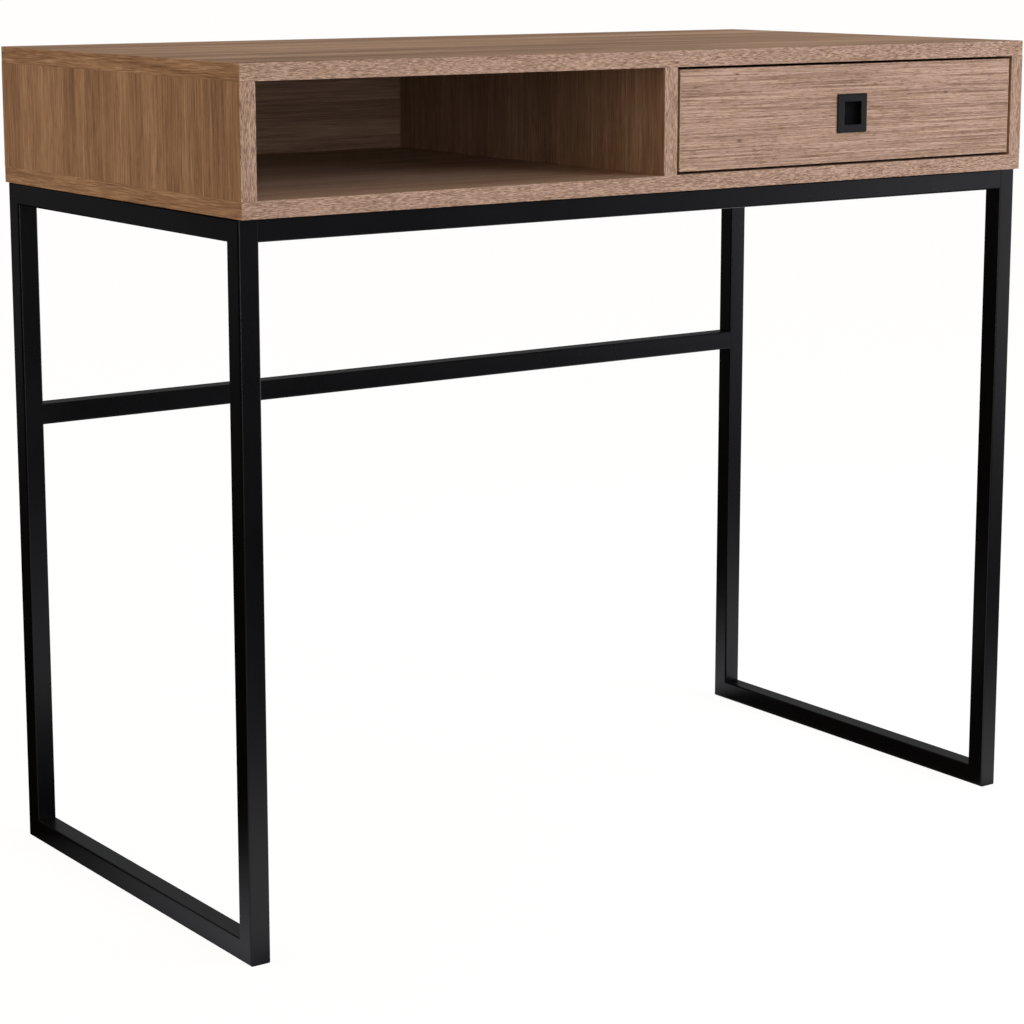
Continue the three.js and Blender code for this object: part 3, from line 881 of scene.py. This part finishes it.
def add_cam(place, material):
    """A cam lock's disc: rounded rim, sunk face, a crossed driver recess and a slot for its bolt."""
    node = f"cam_lock_{place}"
    low, high, centre = box_of(node)
    _, _, bolt = box_of(f"cam_bolt_{place}")
    axis = 1 if abs(high.x - bolt.x) > abs(low.x - bolt.x) else -1
    face = high.x if axis > 0 else low.x
    depth = high.x - low.x
    radius = (high.z - low.z) / 2
    outline = [
        (0, -depth), (radius - 0.5 * MM, -depth), (radius, 0.5 * MM - depth), (radius, -0.4 * MM),
        (radius - 0.1 * MM, -0.1 * MM), (radius - 0.4 * MM, 0), (radius - 1.3 * MM, 0),
        (radius - 1.5 * MM, -CAM_SUNK), (0, -CAM_SUNK),
    ]
    origin = Vector((face, centre.y, centre.z))
    slot_low = Vector((0, centre.y - CAM_SLOT_HALF, centre.z - CAM_SLOT_HALF))
    slot_high = Vector((0, centre.y + CAM_SLOT_HALF, high.z + MM))
    slot_low.x, slot_high.x = sorted((face - axis * CAM_SLOT_DEPTH, face - axis * (depth + MM)))
    sunk = origin - Vector((axis * CAM_SUNK, 0, 0))
    cutters = [slab(slot_low, slot_high)]
    cutters += cross_recess(4.6 * MM, 0.7 * MM, 1.6 * MM, 1, sunk)
    disc = carved(turned(outline, axis, origin), cutters)
    add_piece(f"{node}_disc", disc, material, "desk_body", [node])


# ---- the drawer

# Half the width and the depth of the pull's pocket, and the radius of its screw's hole.
POCKET_HALF = 14.55 * MM
POCKET_DEPTH = 9.3 * MM
PULL_HOLE = 2.3 * MM


def add_drawer_front(face_material, band_material):
    """The drawer's front: a core with its pull let in, and a band round its four edges."""
    low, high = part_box("drawer_front")
    inset = Vector((BAND, 0, BAND))
    _, _, pull = box_of("drawer_pull")
    pocket_low = Vector((pull.x - POCKET_HALF, low.y - MM, pull.z - POCKET_HALF))
    pocket_high = Vector((pull.x + POCKET_HALF, low.y + POCKET_DEPTH, pull.z + POCKET_HALF))
    screw_start = Vector((pull.x, low.y + 5 * MM, pull.z))
    cutters = [
        groove("drawer_bottom"),
        slab(pocket_low, pocket_high),
        turned(rod(PULL_HOLE, 20 * MM), 2, screw_start, 24),
    ]
    core = carved(ease(slab(low + inset, high - inset)), cutters)
    add_piece("drawer_front_core", core, face_material, "drawer", ["drawer_front"])
    band = band_ring(low, high, Y)
    add_piece("drawer_front_band", band, band_material, "drawer")


def add_drawer_board(node, face_material, band_material):
    """A side or the back of the drawer: a band on its upper edge, and a side's core is grooved."""
    low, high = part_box(node)
    core = ease(slab(low, high - Vector((0, 0, BAND))))
    if node != "drawer_back":
        core = carved(core, [groove("drawer_bottom", behind=MM)])
    add_piece(f"{node}_core", core, face_material, "drawer", [node])
    strip = band_strip(Vector((low.x, low.y, high.z - BAND)), high, 3)
    add_piece(f"{node}_band", strip, band_material, "drawer")


# The pull's surface, from the back of its cup over the plate and down into the recess. Each ring
# gives half its width, its distance behind the plate's face and its corner radius, all in mm. A
# width of 0 or less is counted from the plate's own edge.
PULL_RINGS = (
    (14.25, 11.5, 1.2), (14.25, 2.5, 1.2),
    (-0.1, 2.5, 0.9), (0, 2.3, 1.0), (0, 1.15, 1.0),
    (-0.12, 0.8, 1.0), (-1.15, 0.1, 0.7), (-1.5, 0, 0.6),
    (11.7, 0, 0.5), (11.1, 0.12, 0.5), (10.8, 0.5, 0.5), (10.75, 1.7, 0.5), (10.95, 2.0, 0.5),
    (12.25, 2.3, 0.8), (12.25, 7.0, 0.8), (11.75, 7.5, 0.6),
)
# The recess gets a darker, rougher plastic inside this half width and behind this depth; its darker
# colour is painted shade in the pull's hollow.
RECESS_HALF = 12.4 * MM
RECESS_START = 1.1 * MM


def add_pull(materials):
    """The finger pull: a bevelled square plate and a cup undercut behind its lip."""
    low, high, centre = box_of("drawer_pull")
    half = (high.x - low.x) / 2
    front = low.y
    rings = []
    for width, depth, corner in PULL_RINGS:
        size = width * MM if width > 0 else half + width * MM
        rings.append(ring_round(centre, Y, size, size, corner * MM, front + depth * MM))
    bore = turned(rod(PULL_HOLE, 10 * MM), 2, Vector((centre.x, front + 8.45 * MM, centre.z)), 24)
    whole = carved(skin(rings), [bore])
    pull = add_piece("drawer_pull_body", whole, materials, "drawer", ["drawer_pull"])
    for polygon in pull.data.polygons:
        offset = polygon.center - centre
        inside = max(abs(offset.x), abs(offset.z)) < RECESS_HALF
        polygon.material_index = 1 if inside and polygon.center.y > front + RECESS_START else 0


def add_pull_screw(material):
    """The pull's screw: a pan head with a crossed recess, inside the drawer."""
    low, high, centre = box_of("pull_screw")
    radius = (high.x - low.x) / 2
    height = 2.25 * MM
    seat = high.y - height
    end = low.y - seat
    outline = [
        (0, end), (1.5 * MM, end), (2 * MM, end + 0.8 * MM), (2 * MM, 0),
        (radius - 0.1 * MM, 0), (radius, 0.1 * MM), (radius, 0.9 * MM), (radius - 0.35 * MM, 1.6 * MM),
        (radius - 1.1 * MM, 2.1 * MM), (radius - 2.2 * MM, height), (0, height),
    ]
    origin = Vector((centre.x, seat, centre.z))
    face = Vector((centre.x, high.y, centre.z))
    whole = carved(turned(outline, 2, origin), cross_recess(1.9 * MM, 0.4 * MM, 1.2 * MM, 2, face))
    add_piece("pull_screw_turned", whole, material, "drawer", ["pull_screw"])


# ---- the drawer's slides

# The slides' sheet and the radius of its bends, and the lip on the outer member's flanges.
SHEET = 1.25 * MM
BEND = 1.6 * MM
LIP = 1.6 * MM
LIP_BEND = 0.63 * MM


def rolled(points, thickness, bend, segments=4):
    """A rolled sheet's outline: a polyline in XZ thickened to both sides, its bends rounded."""
    path = [Vector((x, 0, z)) for x, z in points]
    smooth = [path[0]]
    for before, corner, after in zip(path, path[1:], path[2:]):
        back = (before - corner).normalized() * bend
        on = (after - corner).normalized() * bend
        centre = corner + back + on
        for step in range(segments + 1):
            angle = math.pi / 2 * step / segments
            smooth.append(centre - on * math.cos(angle) - back * math.sin(angle))
    smooth.append(path[-1])
    left, right = [], []
    for i, point in enumerate(smooth):
        towards = smooth[min(i + 1, len(smooth) - 1)] - smooth[max(i - 1, 0)]
        normal = Vector((-towards.z, 0, towards.x)).normalized() * thickness / 2
        left.append(point + normal)
        right.append(point - normal)
    return left + right[::-1]


def drawn(section, centre, thickness, bend, start, end):
    """A sheet rolled to a section about a centre, drawn out along Y."""
    outline = rolled(section, thickness, bend)
    return skin([
        [Vector((point.x + centre.x, level, point.z + centre.z)) for point in outline]
        for level in (start, end)
    ])


def slide_section(web, flange_end, half, lip=0.0):
    """The middle line of a channel: flange, web, flange, with an optional lip at each end."""
    points = [(flange_end, -half), (web, -half), (web, half), (flange_end, half)]
    if lip:
        points = [(flange_end, -half + lip)] + points + [(flange_end, half - lip)]
    return points


# A slide member's screws from its front end and its oblong holes from either end, half an oblong
# hole's size and its corners' radius, and the radius of a screw's hole.
SLIDE_SCREWS = (35 * MM, 175 * MM, 315 * MM)
SLIDE_OBLONG = 95 * MM
OBLONG_HALF = Vector((3 * MM, 9 * MM, 3 * MM))
OBLONG_ROUND = 2.4 * MM
SLIDE_HOLE = 2.25 * MM


def flat_screw(centre, axis, radius, rise, body, name, material):
    """A low screw head with a crossed recess, on a slide member."""
    outline = [
        (0, -MM), (2.1 * MM, -MM), (2.1 * MM, 0), (radius - 0.1 * MM, 0), (radius, 0.1 * MM),
        (radius, 0.3 * rise), (radius - 0.5 * MM, 0.8 * rise), (radius - 1.3 * MM, rise), (0, rise),
    ]
    face = centre.copy()
    face[abs(axis) - 1] += math.copysign(rise, axis)
    cross = cross_recess(0.5 * radius, 0.32 * MM, 0.55 * MM, axis, face)
    add_piece(name, carved(turned(outline, axis, centre, 24), cross), material, body)


def add_slide_member(part, side, materials, body):
    """The outer, middle or inner channel of one slide, with its screws."""
    node = f"slide_{part}_{side}"
    low, high, centre = box_of(node)
    half = (high.z - low.z) / 2 - SHEET / 2
    web_left = (side == "left") != (part == "inner")
    web, tip = (low.x, high.x) if web_left else (high.x, low.x)
    inward = 1 if web_left else -1
    web_line = web + inward * SHEET / 2
    tip_line, lip, bend = tip, 0.0, BEND
    if part == "outer":
        tip_line, lip, bend = tip - inward * SHEET / 2, LIP, LIP_BEND
    section = slide_section(web_line - centre.x, tip_line - centre.x, half, lip)
    whole = drawn(section, centre, SHEET, bend, low.y, high.y)
    cutters = []
    if part != "middle":
        for reach in SLIDE_SCREWS:
            origin = Vector((web - inward * MM, low.y + reach, centre.z))
            cutters.append(turned(rod(SLIDE_HOLE, 4 * MM), inward, origin, 24))
    for y in (low.y + SLIDE_OBLONG, high.y - SLIDE_OBLONG):
        spot = Vector((web, y, centre.z))
        corners = (spot - OBLONG_HALF, spot + OBLONG_HALF)
        cutters.append(slab(*corners, OBLONG_ROUND, lambda axis, _: axis == X, 4))
    whole = carved(whole, cutters)
    add_piece(f"{node}_rolled", whole, materials["zinc"], body, [node])
    if part != "middle":
        radius, rise = (3.6 * MM, 0.7 * MM) if part == "outer" else (3.8 * MM, 1.3 * MM)
        for count, reach in enumerate(SLIDE_SCREWS, 1):
            spot = Vector((web + inward * SHEET, low.y + reach, centre.z))
            name = f"slide_screw_{part}_{side}_{count}"
            flat_screw(spot, inward, radius, rise, body, name, materials["screw"])


# A cage's sheet and the radius of its bends, its balls' radius and how many stand in each row.
CAGE_SHEET = 0.5 * MM
CAGE_BEND = 0.8 * MM
BALL = 1.2 * MM
BALLS = 8
# How far the rows of balls stand from the face that the outer member is screwed to.
BALL_REACH = {"outer": 6.5 * MM, "inner": 7.5 * MM}


def add_ball_cage(part, side, materials):
    """A ball cage: a thin rolled channel with a row of steel balls in each flange."""
    node = f"ball_cage_{part}_{side}"
    low, high, centre = box_of(node)
    half = (high.z - low.z) / 2 - BALL
    slide_low, slide_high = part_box(f"slide_outer_{side}")
    if side == "left":
        inward, web, tip, back = 1, low.x, high.x, slide_low.x
    else:
        inward, web, tip, back = -1, high.x, low.x, slide_high.x
    web_line = web + inward * CAGE_SHEET / 2
    section = slide_section(web_line - centre.x, tip - centre.x, half)
    parts = [drawn(section, centre, CAGE_SHEET, CAGE_BEND, low.y, high.y)]
    for count in range(BALLS):
        y = low.y + (high.y - low.y) * (count + 0.5) / BALLS
        for sign in (-1, 1):
            place = Vector((back + inward * BALL_REACH[part], y, centre.z + sign * half))
            ball = bmesh.new()
            bmesh.ops.create_uvsphere(ball, u_segments=16, v_segments=10, radius=BALL)
            bmesh.ops.translate(ball, verts=ball.verts, vec=place)
            parts.append(ball)
    add_piece(f"{node}_rolled", merged(*parts), materials["cage"], node, [node])


# ---- materials in use

# What the plain inner boards share, and what the open-pored bands share.
PLAIN = {
    "band": 0.22, "streak": 0.22, "fibre": 0.24, "pore": 0.30, "light": 0.15,
    "band_size": (400, 26), "relief": 0.06,
}
OPEN_BAND = {
    "band": 0.12, "streak": 0.06, "fibre": 0.52, "pore": 0.72, "light": 0.55,
    "fibre_size": (6, 0.8), "relief": 0.14, "marks": (0.3, 1.2), "blush": 0.22,
}
KNOTS = (
    ((0.082, -0.223, 0.690), 1.3 * MM),
    ((0.345, -0.223, 0.727), 1.0 * MM),
    ((0.078, -0.223, 0.752), 0.9 * MM),
)
materials = {
    "face_x": oak_material(
        "oak_face_x", X, band=0.30, streak=0.30, fibre=0.24, pore=0.20, light=0.10,
        band_size=(600, 34), streak_size=(320, 12), tone=0.48, relief=0.05,
    ),
    "inside_x": oak_material("oak_inside_x", X, offset=(4, 9, 2), **PLAIN),
    # Painted shade: the back panel is the plain inner oak made darker, for the shade at the back of
    # the cubby.
    "shaded_back_x": oak_material("oak_back_x", X, offset=(4, 2, 12), tone=0.31, **PLAIN),
    "front_x": oak_material(
        "oak_front_x", X, band=0.15, streak=0.28, fibre=0.42, pore=0.55, light=0.45,
        band_size=(150, 14), streak_size=(200, 1.6), fibre_size=(90, 1.0), sway=1, tone=0.52,
        offset=(2, 5, 8), relief=0.14, marks=(0.5, 1.5), blush=0.25, knots=KNOTS,
    ),
    "side_z": oak_material(
        "oak_side_z", Z, band=0.22, streak=0.16, fibre=0.34, pore=0.50, light=0.35,
        band_size=(420, 22), streak_size=(200, 3.2), fibre_size=(60, 0.7), tone=0.49,
        offset=(7, 1, 3), relief=0.06,
    ),
    "side_y": oak_material(
        "oak_side_y", Y, band=0.14, streak=0.16, fibre=0.26, pore=0.35, light=0.20,
        offset=(5, 2, 6), relief=0.05,
    ),
    "band_x": oak_material(
        "oak_band_x", X, band_size=(60, 8), tone=0.55, offset=(9, 3, 1), **OPEN_BAND,
    ),
    "band_y": oak_material(
        "oak_band_y", Y, band=0.20, streak=0.16, fibre=0.32, pore=0.35, light=0.30,
        band_size=(90, 7), fibre_size=(30, 1.0), tone=0.56, offset=(1, 8, 4), relief=0.06,
    ),
    "band_z": oak_material(
        "oak_band_z", Z, band_size=(60, 6), tone=0.53, offset=(6, 6, 2), **OPEN_BAND,
    ),
    "steel": powder_coat_material(),
    "pull": plastic_material(
        "pull_plastic_black", (0.0075, 0.0070, 0.0078, 1), (0.0105, 0.0098, 0.0108, 1), 0.36, 0.45,
    ),
    # Painted shade: the recess's plastic is darker than the plate's.
    "recess": plastic_material(
        "pull_recess_shaded_black", (0.0040, 0.0040, 0.0045, 1), (0.0055, 0.0055, 0.0060, 1), 0.60, 0.10,
    ),
    "zinc": metal_material(
        "zinc_plate", (0.50, 0.52, 0.54, 1), (0.72, 0.73, 0.74, 1), 0.30, grain=Y, spangle=0.12,
    ),
    "cage": metal_material(
        "cage_steel", (0.42, 0.42, 0.43, 1), (0.60, 0.60, 0.61, 1), 0.26, grain=Y,
    ),
    "cast": metal_material(
        "cast_zinc_grey", (0.36, 0.36, 0.37, 1), (0.52, 0.52, 0.53, 1), 0.42, relief=0.03,
    ),
    "screw": metal_material(
        "screw_zinc", (0.46, 0.45, 0.42, 1), (0.66, 0.65, 0.61, 1), 0.32, relief=0.02,
    ),
}


# ---- the desk

def build_box():
    """Boards, back panel and cam locks."""
    m = materials
    add_flat_board("top_board", (m["face_x"], m["band_x"], m["band_y"]))
    add_flat_board("bottom_board", (m["inside_x"], m["band_x"], m["band_y"]))
    for side in SIDES:
        add_upright_board(f"{side}_side_panel", m["side_z"], m["band_z"], ENDS)
    add_upright_board("divider_panel", m["side_z"], m["band_z"], ("front",))
    sheet = ease(slab(*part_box("back_panel")), SHEET_EASE)
    add_piece("back_panel_sheet", sheet, m["shaded_back_x"], "desk_body", ["back_panel"])
    for place in PLACES:
        add_cam(place, m["cast"])


def build_frame():
    """The steel frame and what shows of its screws."""
    for side in SIDES:
        add_side_loop(side, materials["steel"])
        add_stretcher_screw(side, materials["screw"])
    for node in ("front_rail", "rear_rail", "rear_stretcher"):
        add_cross_tube(node, materials["steel"])


def build_drawer():
    """The drawer's boards and its pull."""
    m = materials
    add_drawer_front(m["front_x"], m["band_x"])
    add_drawer_board("drawer_side_left", m["side_y"], m["band_y"])
    add_drawer_board("drawer_side_right", m["side_y"], m["band_y"])
    add_drawer_board("drawer_back", m["inside_x"], m["band_x"])
    sheet = ease(slab(*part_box("drawer_bottom")), SHEET_EASE)
    add_piece("drawer_bottom_sheet", sheet, m["inside_x"], "drawer", ["drawer_bottom"])
    add_pull((m["pull"], m["recess"]))
    add_pull_screw(m["screw"])


def build_slides():
    """Both slides, each with three members and two cages."""
    for side in SIDES:
        add_slide_member("outer", side, materials, "desk_body")
        add_slide_member("middle", side, materials, f"slide_middle_{side}")
        add_slide_member("inner", side, materials, "drawer")
        for part in ("outer", "inner"):
            add_ball_cage(part, side, materials)


def dress_packed_nodes():
    """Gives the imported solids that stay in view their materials."""
    for name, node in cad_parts.items():
        if "_stub_" in name:
            kind = "steel"
        elif name.startswith(("cam_bolt", "box_screw")):
            kind = "screw"
        else:
            continue
        node.data.materials.clear()
        node.data.materials.append(materials[kind])


add_camera()
add_world()
add_floor()
add_lights()
build_box()
build_frame()
build_drawer()
build_slides()
dress_packed_nodes()

scene = bpy.context.scene
scene.view_settings.view_transform = "Standard"
scene.view_settings.look = "None"
